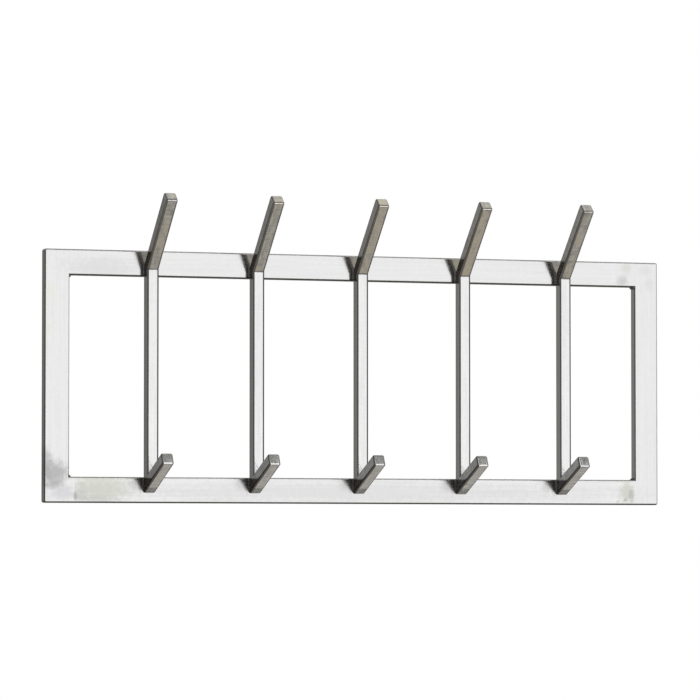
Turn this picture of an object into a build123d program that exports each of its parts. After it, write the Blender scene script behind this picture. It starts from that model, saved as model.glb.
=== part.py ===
# Wall coat rack: a welded frame of flat stainless tube that carries a row of double hooks in square bar.
# Millimetres, +Z up, +X along the rack. The wall is the plane Y = 0 and the rack's front faces -Y.
# The origin lies on the wall plane, midway between the entry holes of the two keyholes.
import os
from math import cos, radians, sin, tan

from build123d import *

# Frame: four lengths of flat tube, mitred at 45 degrees, welded and ground flush
frame_width = 640.0
frame_height = 243.0
tube_face = 25.0
tube_depth = 10.0
tube_wall = 1.5
tube_edge_radius = 1.5
tube_bore_radius = 0.4
corner_grind_radius = 2.0

# Hooks: each one is three lengths of square bar, mitred and welded
hook_count = 5
hook_pitch = 107.5
bar_size = 12.0
bar_edge_radius = 2.0
upper_arm_length = 85.8
upper_arm_lean = 43.6
lower_arm_length = 65.8
lower_arm_lean = 65.8
upper_bend_drop = 18.4
lower_bend_rise = 9.3
lower_bend_grind_radius = 1.2

# Keyholes in the back wall of the top rail
keyhole_spacing = 500.0
keyhole_entry_diameter = 9.0
keyhole_slot_width = 5.0
keyhole_travel = 7.0

# Overshoot of the cutting shapes
cut_over = 1.0

# Heights: each keyhole is centred on the rail's back, and its entry hole is at Z = 0
entry_radius = keyhole_entry_diameter / 2
slot_radius = keyhole_slot_width / 2
top_rail_z = (keyhole_travel + slot_radius - entry_radius) / 2
frame_top = top_rail_z + tube_face / 2
frame_bottom = frame_top - frame_height
half_width = frame_width / 2

os.makedirs("parts", exist_ok=True)


# Square plug that rounds one outer corner of the frame when it is cut away
def corner_plug(side, level):
    r = corner_grind_radius
    corner_x = side * half_width
    corner_z = frame_top if level > 0 else frame_bottom
    block = Pos(corner_x, -tube_depth / 2, corner_z) * Box(2 * r, tube_depth + 2 * cut_over, 2 * r)
    drum_at = Pos(corner_x - side * r, -tube_depth / 2, corner_z - level * r)
    drum = drum_at * Rot(90, 0, 0) * Cylinder(r, tube_depth + 4 * cut_over)
    inner_x = Pos(corner_x - side * 1.5 * r, -tube_depth / 2, corner_z)
    inner_z = Pos(corner_x, -tube_depth / 2, corner_z - level * 1.5 * r)
    keep_x = inner_x * Box(r, tube_depth + 4 * cut_over, 4 * r)
    keep_z = inner_z * Box(4 * r, tube_depth + 4 * cut_over, r)
    return block - drum - keep_x - keep_z


# Tube: hollow rounded section run along one direction, with both ends cut on the frame's diagonals
def tube_section():
    outer = RectangleRounded(tube_face, tube_depth, tube_edge_radius)
    inner = RectangleRounded(tube_face - 2 * tube_wall, tube_depth - 2 * tube_wall, tube_bore_radius)
    return outer - inner


def mitre_planes():
    planes = []
    for side in (-1, 1):
        for level in (-1, 1):
            corner = (side * half_width, 0, frame_top if level > 0 else frame_bottom)
            planes.append((side, level, Plane(corner, x_dir=(0, 1, 0), z_dir=(side, 0, -level))))
    return planes


def rail(level):
    z = top_rail_z if level > 0 else frame_bottom + tube_face / 2
    start = Plane((-half_width, -tube_depth / 2, z), x_dir=(0, 0, 1), z_dir=(1, 0, 0))
    body = extrude(start * tube_section(), amount=frame_width)
    for side, plane_level, plane in mitre_planes():
        if plane_level == level:
            body = split(body, bisect_by=plane, keep=Keep.BOTTOM)
    for side in (-1, 1):
        body = body - corner_plug(side, level)
    return body


def stile(side):
    x = side * (half_width - tube_face / 2)
    start = Plane((x, -tube_depth / 2, frame_bottom), x_dir=(1, 0, 0), z_dir=(0, 0, 1))
    body = extrude(start * tube_section(), amount=frame_height)
    for plane_side, level, plane in mitre_planes():
        if plane_side == side:
            body = split(body, bisect_by=plane, keep=Keep.TOP)
    for level in (-1, 1):
        body = body - corner_plug(side, level)
    return body


# Keyhole: the screw head enters the round hole and the shank slides up the slot as the rack drops
def keyhole(x):
    depth = tube_wall + 2 * cut_over
    face = Plane((x, cut_over, 0), x_dir=(1, 0, 0), z_dir=(0, -1, 0))
    entry = Circle(entry_radius)
    slot_end = Pos(0, keyhole_travel) * Circle(slot_radius)
    slot = Pos(0, keyhole_travel / 2) * Rectangle(keyhole_slot_width, keyhole_travel)
    return extrude(face * (entry + slot + slot_end), amount=depth)


# Hook bars: every bar has the same rounded square section and is cut on its mitre planes
bar_back = -tube_depth
bar_front = bar_back - bar_size
bar_mid = (bar_back + bar_front) / 2
upper_turn = radians(upper_arm_lean)
lower_turn = radians(180.0 - lower_arm_lean)
lower_lean = radians(lower_arm_lean)
upper_half = bar_size / 2 * tan(upper_turn / 2)
lower_half = bar_size / 2 * tan(lower_turn / 2)
upper_mitre_z = frame_top - upper_bend_drop + upper_half
lower_mitre_z = frame_bottom + lower_bend_rise + lower_half
upper_dir = Vector(0, -sin(upper_turn), cos(upper_turn))
lower_dir = Vector(0, -sin(lower_lean), cos(lower_lean))
upper_normal = Vector(0, -sin(upper_turn / 2), cos(upper_turn / 2))
lower_normal = Vector(0, -cos(lower_lean / 2), -sin(lower_lean / 2))


def bar(centre, direction, back, ahead):
    start = Plane(centre - direction * back, x_dir=(1, 0, 0), z_dir=direction)
    return extrude(start * RectangleRounded(bar_size, bar_size, bar_edge_radius), amount=back + ahead)


# Arm bar: its free end is rounded over with the same radius as its long edges
def arm_bar(centre, direction, back, ahead):
    start = Plane(centre - direction * back, x_dir=(1, 0, 0), z_dir=direction)
    blank = extrude(start * Rectangle(bar_size, bar_size), amount=back + ahead)
    mitred_end = blank.faces().sort_by(Axis((0, 0, 0), direction))[0]
    return fillet(blank.edges() - mitred_end.edges(), bar_edge_radius)


# Sliver that rounds the outer corner of the lower bend when it is cut away
def bend_plug(x):
    r = lower_bend_grind_radius
    corner_z = frame_bottom + lower_bend_rise
    run = r * tan(lower_turn / 2)
    tip = Vector(0, bar_back, corner_z)
    on_back = tip + Vector(0, 0, run)
    on_under = tip + lower_dir * run
    hub = on_back + Vector(0, -r, 0)
    outline = Polyline(tip, on_back, hub, on_under, close=True)
    wedge = extrude(make_face(outline), amount=bar_size, both=True, dir=(1, 0, 0))
    drum = Pos(hub) * Rot(0, 90, 0) * Cylinder(r, 4 * bar_size)
    return Pos(x, 0, 0) * (wedge - drum)


def hook(x):
    upper_at = Vector(x, bar_mid, upper_mitre_z)
    lower_at = Vector(x, bar_mid, lower_mitre_z)
    upper_plane = Plane(upper_at, x_dir=(1, 0, 0), z_dir=upper_normal)
    lower_plane = Plane(lower_at, x_dir=(1, 0, 0), z_dir=lower_normal)
    spare = 3 * bar_size
    upright = bar(lower_at, Vector(0, 0, 1), spare, upper_mitre_z - lower_mitre_z + spare)
    upright = split(upright, bisect_by=upper_plane, keep=Keep.BOTTOM)
    upright = split(upright, bisect_by=lower_plane, keep=Keep.BOTTOM)
    upper_arm = arm_bar(upper_at, upper_dir, spare, upper_half + upper_arm_length)
    upper_arm = split(upper_arm, bisect_by=upper_plane, keep=Keep.TOP)
    lower_arm = arm_bar(lower_at, lower_dir, spare, lower_arm_length - lower_half)
    lower_arm = split(lower_arm, bisect_by=lower_plane, keep=Keep.TOP)
    plug = bend_plug(x)
    return upright - plug, upper_arm, lower_arm - plug


# Frame pieces
top_rail = rail(1)
for x in (-keyhole_spacing / 2, keyhole_spacing / 2):
    top_rail = top_rail - keyhole(x)
export_step(top_rail, "parts/top_rail.step")
export_step(rail(-1), "parts/bottom_rail.step")
export_step(stile(-1), "parts/left_stile.step")
export_step(stile(1), "parts/right_stile.step")

# Hook pieces, counted from the rack's left as it is seen from the front
for number in range(1, hook_count + 1):
    x = (number - 1 - (hook_count - 1) / 2) * hook_pitch
    upright, upper_arm, lower_arm = hook(x)
    export_step(upright, f"parts/hook_{number}_upright.step")
    export_step(upper_arm, f"parts/hook_{number}_upper_arm.step")
    export_step(lower_arm, f"parts/hook_{number}_lower_arm.step")
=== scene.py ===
from math import asin, cos, pi, radians, sin, tan

import bmesh
import bpy
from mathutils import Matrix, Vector


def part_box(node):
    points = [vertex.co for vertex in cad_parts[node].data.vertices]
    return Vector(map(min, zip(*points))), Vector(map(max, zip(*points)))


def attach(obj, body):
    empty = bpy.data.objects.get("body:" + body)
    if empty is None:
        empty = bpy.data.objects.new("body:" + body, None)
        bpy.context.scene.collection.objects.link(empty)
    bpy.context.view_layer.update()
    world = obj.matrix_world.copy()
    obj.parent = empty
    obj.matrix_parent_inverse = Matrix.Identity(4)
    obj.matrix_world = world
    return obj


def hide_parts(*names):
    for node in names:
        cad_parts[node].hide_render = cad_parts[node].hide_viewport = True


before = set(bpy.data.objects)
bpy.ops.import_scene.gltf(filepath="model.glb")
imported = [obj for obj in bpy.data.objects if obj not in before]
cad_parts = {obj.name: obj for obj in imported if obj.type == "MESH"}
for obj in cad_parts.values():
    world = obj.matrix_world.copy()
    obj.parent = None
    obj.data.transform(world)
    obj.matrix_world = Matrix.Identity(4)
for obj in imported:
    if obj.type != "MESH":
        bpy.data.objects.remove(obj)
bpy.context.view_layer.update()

# Frame: four lengths of flat stainless tube, mitred at the corners, TIG welded and ground flush.
# The outer corners are dressed to a small radius. The rails are brushed lengthwise, and the stiles'
# upright brushing is carried through the corner squares.
MM = 0.001
scene = bpy.context.scene
rail_low, rail_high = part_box("top_rail")
half_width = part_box("right_stile")[1].x
frame_top = rail_high.z
frame_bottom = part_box("bottom_rail")[0].z
tube_face = rail_high.z - rail_low.z
tube_depth = rail_high.y - rail_low.y
tube_wall = 1.5 * MM
tube_edge_radius = 1.5 * MM
tube_bore_radius = 0.4 * MM
corner_radius = 2.0 * MM
smallest_radius = 0.02 * MM
round_steps = 6
merge_distance = 1e-7
sharp_angle = radians(32)


def rounded_outline(width, depth, radius, inset=0.0):
    """Points (inward, out) round a rounded rectangle, drawn in on all sides by inset."""
    points = []
    turn_radius = max(radius - inset, smallest_radius)
    near = inset + turn_radius
    far_in, far_out = width - near, depth - near
    hubs = ((far_in, far_out), (near, far_out), (near, near), (far_in, near))
    for quarter, (inward, out) in enumerate(hubs):
        for step in range(round_steps + 1):
            angle = (quarter + step / round_steps) * pi / 2
            points.append((inward + turn_radius * cos(angle), out + turn_radius * sin(angle)))
    return points


def corner_ring(outline, corner, before, after, share, radius, side_axis, side_start):
    """Section of a bar at a share of the turn of its outer face from normal before to normal after.
    The outer face follows the corner's radius and the rest of the section lies on the mitre."""
    turn = before.angle(after)
    bisector = (before + after).normalized()
    hub = corner - bisector * (radius / cos(turn / 2))
    across = (after - before * cos(turn)) / sin(turn)
    normal = before * cos(turn * share) + across * sin(turn * share)
    ring = []
    for inward, out in outline:
        if inward < radius:
            place = hub + normal * (radius - inward)
        else:
            place = corner - bisector * (inward / cos(turn / 2))
        ring.append(place + side_axis * (side_start + out))
    return ring


def lofted_mesh(name, rings, bore_rings=None):
    """Closed skin through a row of rings, with flat ends, or with a bore and ring-shaped ends."""
    skin = bmesh.new()
    shells = []
    for row in (rings, bore_rings):
        if row:
            shells.append([[skin.verts.new(point) for point in ring] for ring in row])
    for shell in shells:
        for near, far in zip(shell, shell[1:]):
            for i in range(len(near)):
                j = (i + 1) % len(near)
                skin.faces.new((near[i], near[j], far[j], far[i]))
    for end in (0, -1):
        outer = shells[0][end]
        if bore_rings:
            bore = shells[1][end]
            for i in range(len(outer)):
                j = (i + 1) % len(outer)
                skin.faces.new((outer[i], outer[j], bore[j], bore[i]))
        else:
            skin.faces.new(outer)
    bmesh.ops.remove_doubles(skin, verts=skin.verts, dist=merge_distance)
    bmesh.ops.dissolve_degenerate(skin, edges=skin.edges, dist=merge_distance)
    bmesh.ops.recalc_face_normals(skin, faces=skin.faces)
    data = bpy.data.meshes.new(name)
    skin.to_mesh(data)
    skin.free()
    return data


def comb_grain(data, grain_of):
    """UV map with U across the brushing and V along it, in metres, for the steel's streaks and its gloss.
    A face square to the brushing is combed at right angles to X, or to Y where it looks sideways."""
    least_across = 0.3
    sideways = 0.9
    layer = data.uv_layers.new(name="grain")
    for face in data.polygons:
        grain = grain_of(face)
        across = face.normal.cross(grain)
        if across.length < least_across:
            across = Vector((1, 0, 0)) if abs(face.normal.x) < sideways else Vector((0, 1, 0))
            grain = across.cross(face.normal).normalized()
        across.normalize()
        for loop in face.loop_indices:
            place = data.vertices[data.loops[loop].vertex_index].co
            layer.data[loop].uv = (place.dot(across), place.dot(grain))


def shade_edges(data, along, side, dark_side, bright_sides=(), rim=None, cut=0.0):
    """Face attribute for painted shade: 0 on the flats and up to 1 on the rounded edges, which the steel's
    colour darkens by it. Edges that look to the dark side have it over their full width. bright_sides are
    directions with the share that edges looking there keep. rim is the share where an arm's front turns into
    its cut face, and cut is the share on the cut face itself."""
    full_width_turn, narrow_turn = 0.006, 0.2
    dark_look, bright_look = 0.05, 0.1
    cut_look, cut_end_look = 0.97, 0.7
    rim_look, rim_side_look = 0.1, 0.2
    back = along.cross(side)
    edge = data.attributes.new("edge", "FLOAT", "FACE")
    for face in data.polygons:
        on_along, on_side, on_back = (face.normal.dot(axis) for axis in (along, side, back))
        turned = 1.0 - max(abs(on_along), abs(on_side), abs(on_back))
        on_dark_side = face.normal.dot(dark_side) > dark_look
        share = min(1.0, turned / (full_width_turn if on_dark_side else narrow_turn))
        for direction, kept in bright_sides:
            if face.normal.dot(direction) > bright_look:
                share *= kept
        if on_along > cut_look:
            share = cut
        on_rim = on_along > rim_look and on_back < -rim_look and abs(on_side) < rim_side_look
        if rim is not None and on_rim:
            share = rim if on_along > cut_end_look else 0.0
        edge.data[face.index].value = share


def finished_piece(data, steel, nodes=()):
    """Object of a finished mesh: rounds smooth, flats flat, riding on the rack."""
    data.polygons.foreach_set("use_smooth", [True] * len(data.polygons))
    data.set_sharp_from_angle(angle=sharp_angle)
    data.materials.clear()
    data.materials.append(steel)
    piece = bpy.data.objects.new(data.name, data)
    scene.collection.objects.link(piece)
    shade = piece.modifiers.new("flats_stay_flat", "WEIGHTED_NORMAL")
    shade.mode = "FACE_AREA"
    shade.weight = 100
    shade.keep_sharp = True
    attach(piece, "root")
    if nodes:
        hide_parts(*nodes)
    return piece


def brushed_steel(
    name, dark, light, gloss, streaks_along, comb, mottling, edge_shade_strength, hatch=0.0, tint=None, marks=(), seam=None
):
    """Satin stainless steel with streaks along its brushing. gloss is the roughness of its finest and its
    coarsest streaks, streaks_along is how many streaks follow each other in a metre, comb is how much more
    it blurs across the brushing than along it, mottling is the share of cloudy patches in its tone, and
    edge_shade_strength is how strongly painted shade darkens the rounded edges. hatch is the share of short
    strokes of hand dressing across the brushing. tint is a heat colour that shows in patches. marks are
    colour patches, among them heat colour, dark patches, and painted shade, reflection and highlight:
    centre x and z, half sizes x and z, strength, colour, and the x range that the patch keeps to, in
    millimetres. seam is a weld's dark line: the mitre's point and normal, and the y of the bar's front."""
    steel = bpy.data.materials.new(name)
    steel.use_nodes = True
    nodes, links = steel.node_tree.nodes, steel.node_tree.links
    shader = nodes["Principled BSDF"]
    shader.inputs["Metallic"].default_value = 1.0
    shader.inputs["Anisotropic"].default_value = comb

    def node(kind, **settings):
        made = nodes.new(kind)
        for key, value in settings.items():
            setattr(made, key, value)
        return made

    def calc(operation, first, second):
        made = node("ShaderNodeMath", operation=operation)
        for socket, value in zip(made.inputs, (first, second)):
            if isinstance(value, (int, float)):
                socket.default_value = value
            else:
                links.new(value, socket)
        return made.outputs["Value"]

    def ranged(value, from_low, from_high, to_low, to_high, kind="SMOOTHSTEP"):
        made = node("ShaderNodeMapRange", interpolation_type=kind)
        links.new(value, made.inputs["Value"])
        limits = {"From Min": from_low, "From Max": from_high, "To Min": to_low, "To Max": to_high}
        for key, number in limits.items():
            made.inputs[key].default_value = number
        return made.outputs["Result"]

    def blended(share, under, over):
        made = node("ShaderNodeMix", data_type="RGBA")
        for key, value in (("Factor", share), ("A", under), ("B", over)):
            if isinstance(value, tuple):
                made.inputs[key].default_value = (*value, 1.0)
            else:
                links.new(value, made.inputs[key])
        return made.outputs["Result"]

    def noise(vector, scale, detail):
        made = node("ShaderNodeTexNoise")
        made.inputs["Scale"].default_value = scale
        made.inputs["Detail"].default_value = detail
        made.inputs["Roughness"].default_value = 0.6
        links.new(vector, made.inputs["Vector"])
        return made.outputs["Fac"]

    place = node("ShaderNodeTexCoord")
    where = node("ShaderNodeSeparateXYZ")
    links.new(place.outputs["Object"], where.inputs["Vector"])
    combed = node("ShaderNodeUVMap", uv_map="grain")
    lay = node("ShaderNodeSeparateXYZ")
    links.new(combed.outputs["UV"], lay.inputs["Vector"])

    def streak(across, along, detail):
        """Noise drawn out along the brushing, per metre. It differs from hook to hook along the row."""
        change_along_row = 7.0
        vector = node("ShaderNodeCombineXYZ")
        links.new(calc("MULTIPLY", lay.outputs["X"], across), vector.inputs["X"])
        links.new(calc("MULTIPLY", lay.outputs["Y"], along), vector.inputs["Y"])
        links.new(calc("MULTIPLY", where.outputs["X"], change_along_row), vector.inputs["Z"])
        return noise(vector.outputs["Vector"], 1.0, detail)

    broad = streak(across=420.0, along=streaks_along, detail=3.0)
    close = streak(across=2100.0, along=3.0 * streaks_along, detail=2.0)
    hair = streak(across=6500.0, along=90.0, detail=1.0)
    cloud = noise(place.outputs["Object"], scale=26.0, detail=3.0)
    mottle = noise(place.outputs["Object"], scale=190.0, detail=3.0)

    # Tone and gloss: each noise swings about a half
    close_share = 0.6
    swing = 0.3
    streaked = calc("ADD", broad, calc("MULTIPLY", close, close_share))
    tone = calc("ADD", streaked, calc("MULTIPLY", mottle, mottling))
    middle = (1.0 + close_share + mottling) / 2
    if hatch:
        strokes = streak(across=90.0, along=520.0, detail=2.0)
        tone = calc("ADD", tone, calc("MULTIPLY", strokes, hatch))
        middle += hatch / 2
    colour = blended(ranged(tone, middle - swing, middle + swing, 0.0, 1.0, "LINEAR"), dark, light)
    rough = ranged(calc("ADD", broad, close), 1.0 - swing, 1.0 + swing, *gloss, "LINEAR")

    # Heat colour: patches that fade towards the long edges
    if tint:
        cool, warm, strongest, on_edges = 0.9, 1.15, 0.9, 0.3
        middle_strip, edge_strip = 1.5 * MM, 5.5 * MM
        warmth = calc("ADD", cloud, calc("MULTIPLY", calc("ADD", broad, mottle), 0.5))
        from_middle = calc("ABSOLUTE", lay.outputs["X"], 0.0)
        mid_face = ranged(from_middle, middle_strip, edge_strip, 1.0, on_edges)
        heated = ranged(warmth, cool, warm, 0.0, strongest)
        colour = blended(calc("MULTIPLY", heated, mid_face), colour, tint)

    # Marks: each is an oval with a ragged rim, and a little rougher than the steel round it
    mark_core, mark_rim = 1.2, 2.15
    mottle_share = 0.9
    keep_blur = 0.6
    roughened = 0.08
    half_clouds = calc("MULTIPLY", calc("ADD", cloud, broad), 0.5)
    ragged = calc("ADD", half_clouds, calc("MULTIPLY", mottle, mottle_share))
    for x, z, half_x, half_z, strength, stain, keep in marks:
        off_x = calc("DIVIDE", calc("SUBTRACT", where.outputs["X"], x * MM), half_x * MM)
        off_z = calc("DIVIDE", calc("SUBTRACT", where.outputs["Z"], z * MM), half_z * MM)
        squares = calc("ADD", calc("MULTIPLY", off_x, off_x), calc("MULTIPLY", off_z, off_z))
        away = calc("SQRT", squares, 0.0)
        patch = ranged(calc("ADD", away, ragged), mark_core, mark_rim, strength, 0.0)
        if keep:
            start, end = keep
            after = ranged(where.outputs["X"], (start - keep_blur) * MM, (start + keep_blur) * MM, 0.0, 1.0)
            until = ranged(where.outputs["X"], (end - keep_blur) * MM, (end + keep_blur) * MM, 1.0, 0.0)
            patch = calc("MULTIPLY", patch, calc("MULTIPLY", after, until))
        colour = blended(patch, colour, stain)
        rough = calc("ADD", rough, calc("MULTIPLY", patch, roughened))

    # Seam: a thin wandering line on the bar's front
    if seam:
        point, normal, front_y = seam
        seam_colour = (0.1, 0.096, 0.09)
        seam_core, seam_rim, seam_strength = 0.5 * MM, 1.0 * MM, 0.85
        seam_wander = 1.2 * MM
        front_end, side_start = front_y + 0.6 * MM, front_y + 1.6 * MM
        across_y = calc("MULTIPLY", calc("SUBTRACT", where.outputs["Y"], point.y), normal.y)
        across_z = calc("MULTIPLY", calc("SUBTRACT", where.outputs["Z"], point.z), normal.z)
        away = calc("ABSOLUTE", calc("ADD", across_y, across_z), 0.0)
        wavy = calc("ADD", away, calc("MULTIPLY", calc("SUBTRACT", mottle, 0.5), seam_wander))
        line = ranged(wavy, seam_core, seam_rim, seam_strength, 0.0)
        on_front = ranged(where.outputs["Y"], front_end, side_start, 1.0, 0.0)
        colour = blended(calc("MULTIPLY", line, on_front), colour, seam_colour)

    # Rounded edges: painted shade, darkened by the share in the edge attribute
    painted_edge_shade = (0.12, 0.118, 0.113)
    edge = node("ShaderNodeAttribute", attribute_name="edge")
    colour = blended(calc("MULTIPLY", edge.outputs["Fac"], edge_shade_strength), colour, painted_edge_shade)
    links.new(colour, shader.inputs["Base Color"])
    links.new(rough, shader.inputs["Roughness"])

    # Scratches: the finest streaks, and the direction in which they blur reflections
    scratch = node("ShaderNodeBump")
    scratch.inputs["Strength"].default_value = 0.1
    scratch.inputs["Distance"].default_value = 0.03 * MM
    links.new(calc("ADD", calc("MULTIPLY", close, close_share), hair), scratch.inputs["Height"])
    links.new(scratch.outputs["Normal"], shader.inputs["Normal"])
    grain_line = node("ShaderNodeTangent", direction_type="UV_MAP", uv_map="grain")
    links.new(grain_line.outputs["Tangent"], shader.inputs["Tangent"])
    return steel


# Marks on the frame, most of them near the welded corners: olive and straw heat colour, dark grey patches,
# painted shade and a painted highlight. They are placed by x and z alone, so the frame's back shows them
# too.
steel_dark = (0.559, 0.559, 0.56)
steel_light = (0.629, 0.629, 0.632)
frame_gloss = (0.135, 0.2)
dark_patch_grey = (0.34, 0.34, 0.34)
painted_shade_grey = (0.42, 0.42, 0.42)
olive = (0.46, 0.468, 0.41)
straw = (0.6, 0.59, 0.5)
painted_corner_highlight = (0.505, 0.505, 0.53)
painted_arm_reflection = (0.1, 0.085, 0.075)
after_left_seam = (-289.5, 320)
before_right_seam = (-320, 294.5)
# The mid grey patches are painted shade, one of them a band the full length of the bottom rail.
frame_marks = [
    (-309, -200, 16, 16, 0.85, dark_patch_grey, None),
    (-319, -192, 7, 20, 0.7, dark_patch_grey, None),
    (-311, -211, 13, 5, 0.6, dark_patch_grey, None),
    # Painted highlight: a lavender patch, paler than the dark patches round the lower left corner.
    (-302, -218, 16, 9, 0.75, painted_corner_highlight, None),
    (-266, -214, 42, 17, 0.75, olive, after_left_seam),
    (-285, -219, 9, 12, 0.4, painted_shade_grey, after_left_seam),
    (-262, -225, 26, 5, 0.45, painted_shade_grey, after_left_seam),
    (-289, -222, 2.2, 5, 0.8, dark_patch_grey, None),
    (286, -216, 11, 14, 0.75, olive, before_right_seam),
    (291, -218, 4, 8, 0.55, dark_patch_grey, before_right_seam),
    (284.5, -223, 3, 2.5, 0.65, dark_patch_grey, None),
    (276, -225, 2, 1.6, 0.5, dark_patch_grey, None),
    (286, 9, 7, 7, 0.35, olive, None),
    (282, -4, 7.5, 7, 0.6, painted_shade_grey, None),
    (307, 7, 9, 6, 0.2, painted_shade_grey, None),
    (311, -7, 6, 8, 0.2, painted_shade_grey, None),
    (-314, -25, 6, 9, 0.35, straw, None),
    (-316, -62, 5, 7, 0.3, straw, None),
    (-262, -2, 48, 12, 0.25, painted_shade_grey, None),
    (0, -217, 330, 12, 0.26, painted_shade_grey, None),
]
# Beside every hook's lower bend, painted shade and a painted dark reflection of the lower arm on the bottom
# rail
hook_count = 5
rail_edge = (frame_bottom + tube_face) / MM
for number in range(1, hook_count + 1):
    bar_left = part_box(f"hook_{number}_upright")[0].x / MM
    frame_marks.append((bar_left - 8, rail_edge - 8, 8, 6, 0.4, painted_shade_grey, None))
    frame_marks.append((bar_left - 2, rail_edge - 6, 3.4, 10, 0.55, painted_arm_reflection, None))
frame_steel = brushed_steel(
    "frame_brushed_steel",
    steel_dark,
    steel_light,
    frame_gloss,
    streaks_along=9.0,
    comb=0.5,
    mottling=0.4,
    edge_shade_strength=0.95,
    marks=frame_marks,
)

out_axis = Vector((0, 1, 0))
left, right = Vector((-1, 0, 0)), Vector((1, 0, 0))
up, down = Vector((0, 0, 1)), Vector((0, 0, -1))
frame_corners = {
    "top_left": (Vector((-half_width, 0, frame_top)), left, up),
    "top_right": (Vector((half_width, 0, frame_top)), up, right),
    "bottom_right": (Vector((half_width, 0, frame_bottom)), right, down),
    "bottom_left": (Vector((-half_width, 0, frame_bottom)), down, left),
}
# Shares of the painted edge shade kept by the frame's edges that face up and right
top_edges_kept = 0.4
right_edges_kept = 0.0
edge_shade_sides = ((up, top_edges_kept), (right, right_edges_kept))
turn_steps = [step / round_steps for step in range(round_steps + 1)]
tube_outline = rounded_outline(tube_face, tube_depth, tube_edge_radius)
bore_size = (tube_face - 2 * tube_wall, tube_depth - 2 * tube_wall)
bore_outline = [(i + tube_wall, o + tube_wall) for i, o in rounded_outline(*bore_size, tube_bore_radius)]


def mitred_tube(name, first, last):
    """Hollow tube from one corner's mitre to the next corner's, clockwise as seen from the front."""
    shells = []
    for outline in (tube_outline, bore_outline):
        rings = []
        for corner_name, start, end in ((first, 0.5, 1.0), (last, 0.0, 0.5)):
            turn = frame_corners[corner_name]
            for step in turn_steps:
                share = start + (end - start) * step
                rings.append(corner_ring(outline, *turn, share, corner_radius, out_axis, -tube_depth))
        shells.append(rings)
    return lofted_mesh(name, *shells)


def frame_grain(face):
    """Upright in the stiles and the corner squares, and lengthwise on the rails between them."""
    return up.copy() if abs(face.center.x) > half_width - tube_face else right.copy()


def split_at_stiles(data):
    """Rail with its skin divided where the stiles' brushing ends."""
    skin = bmesh.new()
    skin.from_mesh(data)
    for side in (-1, 1):
        line = Vector((side * (half_width - tube_face), 0, 0))
        everything = skin.verts[:] + skin.edges[:] + skin.faces[:]
        bmesh.ops.bisect_plane(skin, geom=everything, dist=merge_distance, plane_co=line, plane_no=right)
    skin.to_mesh(data)
    skin.free()


for name, node, first, last in (
    ("right_stile_tube", "right_stile", "top_right", "bottom_right"),
    ("left_stile_tube", "left_stile", "bottom_left", "top_left"),
):
    tube = mitred_tube(name, first, last)
    comb_grain(tube, frame_grain)
    shade_edges(tube, up, out_axis, down, edge_shade_sides)
    finished_piece(tube, frame_steel, [node])

lower_tube = mitred_tube("bottom_rail_tube", "bottom_right", "bottom_left")
split_at_stiles(lower_tube)
comb_grain(lower_tube, frame_grain)
shade_edges(lower_tube, right, out_axis, down, edge_shade_sides)
finished_piece(lower_tube, frame_steel, ["bottom_rail"])

# Top rail: the same tube, with two keyholes punched through its back wall.
# A screw head goes in at the round hole and the shank slides up the slot as the rack drops onto it.
keyhole_spacing = 500.0 * MM
entry_radius = 4.5 * MM
slot_radius = 2.5 * MM
keyhole_travel = 7.0 * MM
cut_over = 1.0 * MM
entry_steps = 32
slot_end_steps = 16


def keyhole_cutter(x):
    """Plug of a keyhole's outline, a little longer than the wall is thick."""
    outline = []
    mouth = asin(slot_radius / entry_radius)
    for step in range(entry_steps + 1):
        angle = pi / 2 - mouth - step / entry_steps * (2 * pi - 2 * mouth)
        outline.append((x + entry_radius * cos(angle), entry_radius * sin(angle)))
    for step in range(slot_end_steps + 1):
        angle = pi - step / slot_end_steps * pi
        outline.append((x + slot_radius * cos(angle), keyhole_travel + slot_radius * sin(angle)))
    rings = [[Vector((a, depth, b)) for a, b in outline] for depth in (cut_over, -tube_wall - cut_over)]
    return lofted_mesh("keyhole_cutter", rings)


upper_tube = mitred_tube("top_rail_tube", "top_left", "top_right")
split_at_stiles(upper_tube)
uncut_rail = bpy.data.objects.new("uncut_rail", upper_tube)
scene.collection.objects.link(uncut_rail)
cutters = []
for side in (-1, 1):
    cutter = bpy.data.objects.new("keyhole_cutter", keyhole_cutter(side * keyhole_spacing / 2))
    scene.collection.objects.link(cutter)
    punch = uncut_rail.modifiers.new("punch", "BOOLEAN")
    punch.operation = "DIFFERENCE"
    punch.solver = "EXACT"
    punch.object = cutter
    cutters.append(cutter)
punched = uncut_rail.evaluated_get(bpy.context.evaluated_depsgraph_get())
upper_rail = bpy.data.meshes.new_from_object(punched)
upper_rail.name = "top_rail_with_keyholes"
for helper in (uncut_rail, *cutters):
    bpy.data.objects.remove(helper)
comb_grain(upper_rail, frame_grain)
shade_edges(upper_rail, right, out_axis, down, edge_shade_sides)
finished_piece(upper_rail, frame_steel, ["top_rail"])

# Hook uprights: solid square stainless bar with well rounded edges, welded flat against both rails.
# Each is mitred at its upper end, where it folds forward, and at its lower end, where it turns back up.
# The five stand at an even pitch and are brushed along their length.
bar_low, bar_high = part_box("hook_1_upright")
bar_size = bar_high.x - bar_low.x
bar_back = bar_high.y
hook_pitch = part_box("hook_2_upright")[0].x - bar_low.x
bar_edge_radius = 2.0 * MM
upper_arm_lean = radians(43.6)
lower_arm_lean = radians(65.8)
upper_bend_drop = 18.4 * MM
lower_bend_rise = 9.3 * MM
lower_bend_radius = 1.2 * MM
upper_bend_z = frame_top - upper_bend_drop + bar_size * tan(upper_arm_lean / 2)
upper_bend = Vector((0, bar_back, upper_bend_z))
lower_bend = Vector((0, bar_back, frame_bottom + lower_bend_rise))
back_normal = Vector((0, 1, 0))
upper_normal = Vector((0, cos(upper_arm_lean), sin(upper_arm_lean)))
lower_normal = Vector((0, -cos(lower_arm_lean), -sin(lower_arm_lean)))
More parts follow.
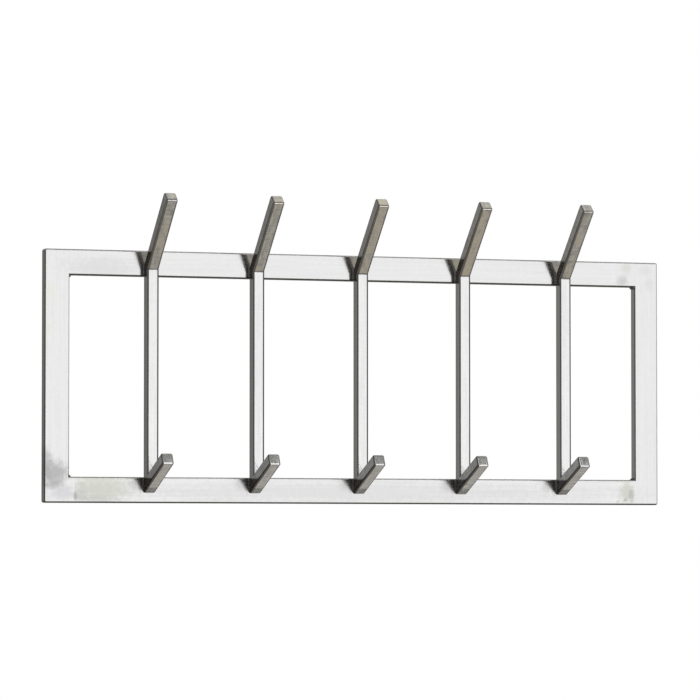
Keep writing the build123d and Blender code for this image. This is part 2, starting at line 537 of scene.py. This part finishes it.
bar_outline = rounded_outline(bar_size, bar_size, bar_edge_radius)
upper_mitre = Vector((0, -sin(upper_arm_lean / 2), cos(upper_arm_lean / 2)))
upper_seam = (upper_bend, upper_mitre, bar_back - bar_size)
upright_dark = (0.54, 0.54, 0.542)
upright_light = (0.65, 0.65, 0.653)
upright_gloss = (0.06, 0.12)
# Share of the painted edge shade kept by the uprights' left-facing edges
left_edges_kept = 0.7
upright_steel = brushed_steel(
    "hook_upright_steel",
    upright_dark,
    upright_light,
    upright_gloss,
    streaks_along=14.0,
    comb=0.75,
    mottling=0.4,
    edge_shade_strength=1.0,
    seam=upper_seam,
)


def bend_rings(corner, before, after, radius, start, end):
    """Sections of a hook's bar from one share of a bend's turn to another."""
    rings = []
    for step in turn_steps:
        share = start + (end - start) * step
        rings.append(corner_ring(bar_outline, corner, before, after, share, radius, right, -bar_size / 2))
    return rings


# Row of hooks: the middle hook's bar is repeated along the rack at the pitch
hook_row = bpy.data.node_groups.new("hook_row", "GeometryNodeTree")
hook_row.interface.new_socket("Bar", in_out="INPUT", socket_type="NodeSocketGeometry")
count_input = hook_row.interface.new_socket("Count", in_out="INPUT", socket_type="NodeSocketInt")
pitch_input = hook_row.interface.new_socket("Pitch", in_out="INPUT", socket_type="NodeSocketFloat")
steel_input = hook_row.interface.new_socket("Steel", in_out="INPUT", socket_type="NodeSocketMaterial")
hook_row.interface.new_socket("Hooks", in_out="OUTPUT", socket_type="NodeSocketGeometry")
row_in = hook_row.nodes.new("NodeGroupInput")
row_out = hook_row.nodes.new("NodeGroupOutput")
gaps = hook_row.nodes.new("ShaderNodeMath")
gaps.operation = "SUBTRACT"
gaps.inputs[1].default_value = 1.0
row_length = hook_row.nodes.new("ShaderNodeMath")
row_length.operation = "MULTIPLY"
first_x = hook_row.nodes.new("ShaderNodeMath")
first_x.operation = "MULTIPLY"
first_x.inputs[1].default_value = -0.5
row_start = hook_row.nodes.new("ShaderNodeCombineXYZ")
row_step = hook_row.nodes.new("ShaderNodeCombineXYZ")
stations = hook_row.nodes.new("GeometryNodeMeshLine")
stations.mode = "OFFSET"
repeat = hook_row.nodes.new("GeometryNodeInstanceOnPoints")
realize = hook_row.nodes.new("GeometryNodeRealizeInstances")
clad = hook_row.nodes.new("GeometryNodeSetMaterial")
for source, target in (
    (row_in.outputs["Count"], gaps.inputs[0]),
    (gaps.outputs[0], row_length.inputs[0]),
    (row_in.outputs["Pitch"], row_length.inputs[1]),
    (row_length.outputs[0], first_x.inputs[0]),
    (first_x.outputs[0], row_start.inputs["X"]),
    (row_in.outputs["Pitch"], row_step.inputs["X"]),
    (row_in.outputs["Count"], stations.inputs["Count"]),
    (row_start.outputs[0], stations.inputs["Start Location"]),
    (row_step.outputs[0], stations.inputs["Offset"]),
    (stations.outputs["Mesh"], repeat.inputs["Points"]),
    (row_in.outputs["Bar"], repeat.inputs["Instance"]),
    (repeat.outputs["Instances"], realize.inputs["Geometry"]),
    (realize.outputs["Geometry"], clad.inputs["Geometry"]),
    (row_in.outputs["Steel"], clad.inputs["Material"]),
    (clad.outputs["Geometry"], row_out.inputs["Hooks"]),
):
    hook_row.links.new(source, target)


def hook_row_piece(bar, grain, steel, node_ending, dark_side, **edge_shares):
    """The row of one of the hook's three bars, made from the middle hook's bar."""
    comb_grain(bar, lambda face: grain.copy())
    shade_edges(bar, grain, right, dark_side, **edge_shares)
    middle = bpy.data.objects.new("middle_" + bar.name, bar)
    scene.collection.objects.link(middle)
    row = middle.modifiers.new("row", "NODES")
    row.node_group = hook_row
    row[count_input.identifier] = hook_count
    row[pitch_input.identifier] = hook_pitch
    row[steel_input.identifier] = steel
    made = middle.evaluated_get(bpy.context.evaluated_depsgraph_get())
    data = bpy.data.meshes.new_from_object(made)
    data.name = bar.name + "_row"
    bpy.data.objects.remove(middle)
    nodes = [f"hook_{number}_{node_ending}" for number in range(1, hook_count + 1)]
    return finished_piece(data, steel, nodes)


upright_rings = bend_rings(lower_bend, lower_normal, back_normal, lower_bend_radius, 0.5, 1.0)
upright_rings += bend_rings(upper_bend, back_normal, upper_normal, 0.0, 0.0, 0.5)
upright = lofted_mesh("hook_upright", upright_rings)
hook_row_piece(upright, up, upright_steel, "upright", right, bright_sides=((left, left_edges_kept),))

# Upper arms: the same square bar, mitred and welded to the uprights' upper ends, leaning out for coats.
# The free end is rounded over like the bar's long edges. The arms are dressed by hand after welding, so
# their grain is coarser than the uprights' and keeps some straw and brown heat colour.
arm_dark = (0.427, 0.429, 0.415)
arm_light = (0.79, 0.79, 0.766)
arm_heat_colour = (0.72, 0.66, 0.565)
arm_gloss = (0.07, 0.15)
upper_arm_steel = brushed_steel(
    "hook_upper_arm_steel",
    arm_dark,
    arm_light,
    arm_gloss,
    streaks_along=55.0,
    comb=0.75,
    mottling=0.8,
    edge_shade_strength=0.75,
    hatch=0.8,
    tint=arm_heat_colour,
    seam=upper_seam,
)
upper_arm_length = 85.8 * MM
upper_run = Vector((0, -sin(upper_arm_lean), cos(upper_arm_lean)))
upper_tip = upper_bend + upper_run * (upper_arm_length + bar_size * tan(upper_arm_lean / 2))


def free_end_rings(tip, run, normal):
    """Sections that round an arm's sides over into its cut face. tip is mid-way on the cut's outer edge."""
    rings = []
    for step in turn_steps:
        angle = step * pi / 2
        inset = bar_edge_radius * (1 - cos(angle))
        outline = rounded_outline(bar_size, bar_size, bar_edge_radius, inset)
        edge = tip - run * bar_edge_radius * (1 - sin(angle)) - right * bar_size / 2
        rings.append([edge - normal * inward + right * out for inward, out in outline])
    return rings


upper_rings = bend_rings(upper_bend, back_normal, upper_normal, 0.0, 0.5, 1.0)
upper_rings += free_end_rings(upper_tip, upper_run, upper_normal)
upper_arm = lofted_mesh("hook_upper_arm", upper_rings)
# rim=1.0: painted shade as a dark line on the rounding between the arm's front and its cut face
hook_row_piece(upper_arm, upper_run, upper_arm_steel, "upper_arm", -upper_normal, rim=1.0)

# Lower arms: shorter lengths of the same bar, mitred to the uprights' lower ends at a sharp V.
# The weld at the outside of the V is dressed to a small round, and painted shade darkens the cut ends a
# little.
lower_arm_dark = (0.525, 0.537, 0.548)
lower_arm_light = (0.938, 0.96, 0.98)
lower_heat_colour = (0.7, 0.69, 0.675)
lower_arm_steel = brushed_steel(
    "hook_lower_arm_steel",
    lower_arm_dark,
    lower_arm_light,
    arm_gloss,
    streaks_along=55.0,
    comb=0.75,
    mottling=0.8,
    edge_shade_strength=0.95,
    hatch=1.6,
    tint=lower_heat_colour,
)
lower_arm_length = 65.8 * MM
lower_run = Vector((0, -sin(lower_arm_lean), cos(lower_arm_lean)))
lower_tip = lower_bend + lower_run * lower_arm_length
lower_rings = free_end_rings(lower_tip, lower_run, lower_normal)[::-1]
lower_rings += bend_rings(lower_bend, lower_normal, back_normal, lower_bend_radius, 0.0, 0.5)
lower_arm = lofted_mesh("hook_lower_arm", lower_rings)
hook_row_piece(lower_arm, lower_run, lower_arm_steel, "lower_arm", lower_normal, rim=0.0, cut=0.3)

# Welds: TIG beads of the same steel in the frame's four inner corners, and behind every hook where its
# upright crosses a rail's inner edge. They are left as welded and rippled, dark with heat and darker still
# as painted shade for the shadow in the frame's inner corners.
bead_radius = 1.9 * MM
bead_standing_back = 0.4
ripple_pitch = 0.95 * MM
ripple_flattening = 0.35
smallest_ripple, largest_ripple = 0.9, 1.08
ripple_seed = 5
corner_ripples = 8
hook_ripples = 9
opening_x = half_width - tube_face
opening_top = frame_top - tube_face
opening_bottom = frame_bottom + tube_face
# The beads' dark grey is partly painted shade for the frame's inner corners
weld_grey_and_corner_shade = (0.15, 0.147, 0.14)
weld_straw = (0.12, 0.1, 0.078)
weld_gloss = (0.22, 0.42)
heat_scale = 420.0

weld_steel = bpy.data.materials.new("weld_bead_steel")
weld_steel.use_nodes = True
weld_nodes, weld_links = weld_steel.node_tree.nodes, weld_steel.node_tree.links
weld_shader = weld_nodes["Principled BSDF"]
weld_shader.inputs["Metallic"].default_value = 1.0
weld_place = weld_nodes.new("ShaderNodeTexCoord")
heat = weld_nodes.new("ShaderNodeTexNoise")
heat.inputs["Scale"].default_value = heat_scale
heat.inputs["Detail"].default_value = 2.0
weld_links.new(weld_place.outputs["Object"], heat.inputs["Vector"])
heat_colour = weld_nodes.new("ShaderNodeMix")
heat_colour.data_type = "RGBA"
heat_colour.inputs["A"].default_value = (*weld_grey_and_corner_shade, 1.0)
heat_colour.inputs["B"].default_value = (*weld_straw, 1.0)
weld_links.new(heat.outputs["Fac"], heat_colour.inputs["Factor"])
weld_links.new(heat_colour.outputs["Result"], weld_shader.inputs["Base Color"])
weld_rough = weld_nodes.new("ShaderNodeMapRange")
weld_rough.inputs["To Min"].default_value = weld_gloss[0]
weld_rough.inputs["To Max"].default_value = weld_gloss[1]
weld_links.new(heat.outputs["Fac"], weld_rough.inputs["Value"])
weld_links.new(weld_rough.outputs["Result"], weld_shader.inputs["Roughness"])

# Weld run: overlapping flat ripples along a line, repeated at every vertex of the mesh that it is given
weld_run = bpy.data.node_groups.new("weld_run", "GeometryNodeTree")
weld_run.interface.new_socket("Stations", in_out="INPUT", socket_type="NodeSocketGeometry")
ripples_input = weld_run.interface.new_socket("Ripples", in_out="INPUT", socket_type="NodeSocketInt")
start_input = weld_run.interface.new_socket("Run Start", in_out="INPUT", socket_type="NodeSocketVector")
step_input = weld_run.interface.new_socket("Run Step", in_out="INPUT", socket_type="NodeSocketVector")
size_input = weld_run.interface.new_socket("Ripple Size", in_out="INPUT", socket_type="NodeSocketVector")
bead_steel_input = weld_run.interface.new_socket("Steel", in_out="INPUT", socket_type="NodeSocketMaterial")
weld_run.interface.new_socket("Beads", in_out="OUTPUT", socket_type="NodeSocketGeometry")
run_in = weld_run.nodes.new("NodeGroupInput")
run_out = weld_run.nodes.new("NodeGroupOutput")
run_line = weld_run.nodes.new("GeometryNodeMeshLine")
run_line.mode = "OFFSET"
ripple = weld_run.nodes.new("GeometryNodeMeshUVSphere")
ripple.inputs["Segments"].default_value = 16
ripple.inputs["Rings"].default_value = 8
ripple.inputs["Radius"].default_value = 1.0
flow = weld_run.nodes.new("FunctionNodeRandomValue")
flow.data_type = "FLOAT"
flow.inputs[2].default_value = smallest_ripple
flow.inputs[3].default_value = largest_ripple
flow.inputs["Seed"].default_value = ripple_seed
ripple_size = weld_run.nodes.new("ShaderNodeVectorMath")
ripple_size.operation = "SCALE"
lay_ripples = weld_run.nodes.new("GeometryNodeInstanceOnPoints")
one_run = weld_run.nodes.new("GeometryNodeRealizeInstances")
lay_runs = weld_run.nodes.new("GeometryNodeInstanceOnPoints")
all_runs = weld_run.nodes.new("GeometryNodeRealizeInstances")
bead_clad = weld_run.nodes.new("GeometryNodeSetMaterial")
for source, target in (
    (run_in.outputs["Ripples"], run_line.inputs["Count"]),
    (run_in.outputs["Run Start"], run_line.inputs["Start Location"]),
    (run_in.outputs["Run Step"], run_line.inputs["Offset"]),
    (run_in.outputs["Ripple Size"], ripple_size.inputs[0]),
    (flow.outputs[1], ripple_size.inputs["Scale"]),
    (run_line.outputs["Mesh"], lay_ripples.inputs["Points"]),
    (ripple.outputs["Mesh"], lay_ripples.inputs["Instance"]),
    (ripple_size.outputs["Vector"], lay_ripples.inputs["Scale"]),
    (lay_ripples.outputs["Instances"], one_run.inputs["Geometry"]),
    (run_in.outputs["Stations"], lay_runs.inputs["Points"]),
    (one_run.outputs["Geometry"], lay_runs.inputs["Instance"]),
    (lay_runs.outputs["Instances"], all_runs.inputs["Geometry"]),
    (all_runs.outputs["Geometry"], bead_clad.inputs["Geometry"]),
    (run_in.outputs["Steel"], bead_clad.inputs["Material"]),
    (bead_clad.outputs["Geometry"], run_out.inputs["Beads"]),
):
    weld_run.links.new(source, target)


def weld_beads(name, places, along, ripples):
    """One run of ripples at each place, along the direction given."""
    stations_data = bpy.data.meshes.new("stations_of_" + name)
    stations_data.from_pydata(places, [], [])
    holder = bpy.data.objects.new("stations_of_" + name, stations_data)
    scene.collection.objects.link(holder)
    run = holder.modifiers.new("run", "NODES")
    run.node_group = weld_run
    size = Vector((bead_radius, bead_radius, bead_radius)) - along * ripple_flattening * bead_radius
    run[ripples_input.identifier] = ripples
    run[start_input.identifier] = along * (-ripple_pitch * (ripples - 1) / 2)
    run[step_input.identifier] = along * ripple_pitch
    run[size_input.identifier] = size
    run[bead_steel_input.identifier] = weld_steel
    made = holder.evaluated_get(bpy.context.evaluated_depsgraph_get())
    data = bpy.data.meshes.new_from_object(made)
    data.name = name
    bpy.data.objects.remove(holder)
    return finished_piece(data, weld_steel)


corner_bead_at = []
hook_bead_at = []
for opening_z in (opening_top, opening_bottom):
    for side in (-1, 1):
        corner_bead_at.append((side * opening_x, -tube_depth / 2, opening_z))
    for number in range(hook_count):
        hook_x = (number - (hook_count - 1) / 2) * hook_pitch
        hook_bead_at.append((hook_x, bar_back + bead_standing_back * bead_radius, opening_z))
weld_beads("frame_corner_welds", corner_bead_at, out_axis, corner_ripples)
weld_beads("hook_back_welds", hook_bead_at, right, hook_ripples)

# Floor: a plain pale studio floor of painted board, flat and matt.
# The rack hangs above it in the air, as it would on a wall.
floor_drop = 0.55
floor_z = frame_bottom - floor_drop
floor_half = 1.0
floor_front = -0.62
floor_back = 2.6
floor_colour = (0.86, 0.83, 0.775)
floor_data = bpy.data.meshes.new("floor")
floor_edge = [(-floor_half, floor_front, floor_z), (floor_half, floor_front, floor_z)]
floor_edge += [(floor_half, floor_back, floor_z), (-floor_half, floor_back, floor_z)]
floor_data.from_pydata(floor_edge, [], [(0, 1, 2, 3)])
floor = bpy.data.objects.new("floor", floor_data)
scene.collection.objects.link(floor)
floor_paint = bpy.data.materials.new("floor_paint")
floor_paint.use_nodes = True
floor_shader = floor_paint.node_tree.nodes["Principled BSDF"]
floor_shader.inputs["Base Color"].default_value = (*floor_colour, 1.0)
floor_shader.inputs["Roughness"].default_value = 0.7
floor_data.materials.append(floor_paint)

# Light: a broad soft box in front, which the frame's faces mirror, a wide panel above it, a warm box
# overhead, and a box for the floor alone. The room is dim ahead, paler to the left and right, and has a
# darker band round the horizon behind. The camera itself sees a white backdrop.
front_at = Vector((0.85, -2.3, -0.275))
front_aim = Vector((0.85, 0, -0.275))
panel_at = Vector((0.95, -1.75, 1.405))
panel_aim = Vector((0.95, 0, 1.405))
top_at = Vector((1.35, 0.4, 1.9))
top_aim = Vector((1.35, 0.4, 0))
floor_lit_from = Vector((-1.6, 1.6, 1.7))
floor_aim = Vector((0, 0, floor_z))
cool_white = (0.996, 0.998, 1.0)
plain_white = (1.0, 1.0, 1.0)
warm_white = (1.0, 0.97, 0.86)
soft_white = (1.0, 0.98, 0.94)


def soft_box(name, place, aim, width, height, radiance, colour, mirrored=True):
    """Rectangular soft box. radiance is how bright its face is, whatever its size."""
    light = bpy.data.lights.new(name, "AREA")
    light.shape = "RECTANGLE"
    light.size = width
    light.size_y = height
    light.energy = radiance * pi * width * height
    light.color = colour
    holder = bpy.data.objects.new(name, light)
    holder.location = place
    holder.rotation_euler = (aim - place).to_track_quat("-Z", "Y").to_euler()
    holder.visible_camera = False
    holder.visible_glossy = mirrored
    scene.collection.objects.link(holder)


soft_box("front_box", front_at, front_aim, width=2.4, height=2.05, radiance=1.38, colour=cool_white)
soft_box("upper_front_box", panel_at, panel_aim, width=1.8, height=0.55, radiance=1.9, colour=plain_white)
soft_box("top_box", top_at, top_aim, width=2.0, height=1.8, radiance=0.36, colour=warm_white)
soft_box(
    "floor_box",
    floor_lit_from,
    floor_aim,
    width=1.4,
    height=1.4,
    radiance=1.5,
    colour=soft_white,
    mirrored=False,
)

world = bpy.data.worlds.new("studio")
world.use_nodes = True
scene.world = world
room_nodes = world.node_tree.nodes
room_links = world.node_tree.links
look = room_nodes.new("ShaderNodeTexCoord")
toward = room_nodes.new("ShaderNodeSeparateXYZ")
room_links.new(look.outputs["Generated"], toward.inputs["Vector"])


def room_part(axis, start, end, here, there):
    """Room colour that turns from here to there as the direction's axis goes from start to end."""
    turn = room_nodes.new("ShaderNodeMapRange")
    turn.interpolation_type = "SMOOTHSTEP"
    turn.inputs["From Min"].default_value = start
    turn.inputs["From Max"].default_value = end
    room_links.new(toward.outputs[axis], turn.inputs["Value"])
    blend = room_nodes.new("ShaderNodeMix")
    blend.data_type = "RGBA"
    room_links.new(turn.outputs["Result"], blend.inputs["Factor"])
    for name, colour in (("A", here), ("B", there)):
        if isinstance(colour, tuple):
            blend.inputs[name].default_value = (*colour, 1.0)
        else:
            room_links.new(colour, blend.inputs[name])
    return blend.outputs["Result"]


left_front = (0.3, 0.295, 0.285)
dim_front = (0.045, 0.037, 0.031)
right_front = (0.9, 0.9, 0.89)
left_back = (0.315, 0.308, 0.293)
right_back = (0.08, 0.078, 0.074)
pale_back = (0.4, 0.394, 0.38)
ceiling = (0.355, 0.346, 0.332)
band_half = 0.2
band_blur = 0.06
back_band = room_part("X", start=-0.5, end=-0.1, here=left_back, there=right_back)
back_low = room_part("Z", -band_half - band_blur, -band_half + band_blur, pale_back, back_band)
back_wall = room_part("Z", band_half - band_blur, band_half + band_blur, back_low, pale_back)
front_left_wall = room_part("X", start=-0.63, end=-0.48, here=left_front, there=dim_front)
front_wall = room_part("X", start=0.7, end=0.85, here=front_left_wall, there=right_front)
walls = room_part("Y", start=-0.3, end=0.4, here=front_wall, there=back_wall)
room_colour = room_part("Z", start=0.45, end=0.7, here=walls, there=ceiling)
room = room_nodes["Background"]
room_links.new(room_colour, room.inputs["Color"])
backdrop = room_nodes.new("ShaderNodeBackground")
backdrop.inputs["Color"].default_value = (*plain_white, 1.0)
seen = room_nodes.new("ShaderNodeLightPath")
choose = room_nodes.new("ShaderNodeMixShader")
room_links.new(seen.outputs["Is Camera Ray"], choose.inputs["Fac"])
room_links.new(room.outputs["Background"], choose.inputs[1])
room_links.new(backdrop.outputs["Background"], choose.inputs[2])
room_links.new(choose.outputs["Shader"], room_nodes["World Output"].inputs["Surface"])
scene.view_settings.view_transform = "Standard"

# Camera: a long lens, to the rack's left and a little below it.
# Its place and its lens were solved together with the rack's sizes.
image_pixels = 700
focal_pixels = 4549
camera_yaw = radians(20.33)
camera_rise = radians(-2.54)
camera_away = 4.45
camera_target = Vector((-0.009, -0.01, -0.0775))
level_reach = cos(camera_rise)
toward_camera = Vector((-sin(camera_yaw) * level_reach, -cos(camera_yaw) * level_reach, sin(camera_rise)))
lens = bpy.data.cameras.new("camera")
lens.sensor_width = 36.0
lens.lens = focal_pixels / image_pixels * lens.sensor_width
camera = bpy.data.objects.new("camera", lens)
camera.location = camera_target + toward_camera * camera_away
camera.rotation_euler = (-toward_camera).to_track_quat("-Z", "Y").to_euler()
scene.collection.objects.link(camera)
scene.camera = camera
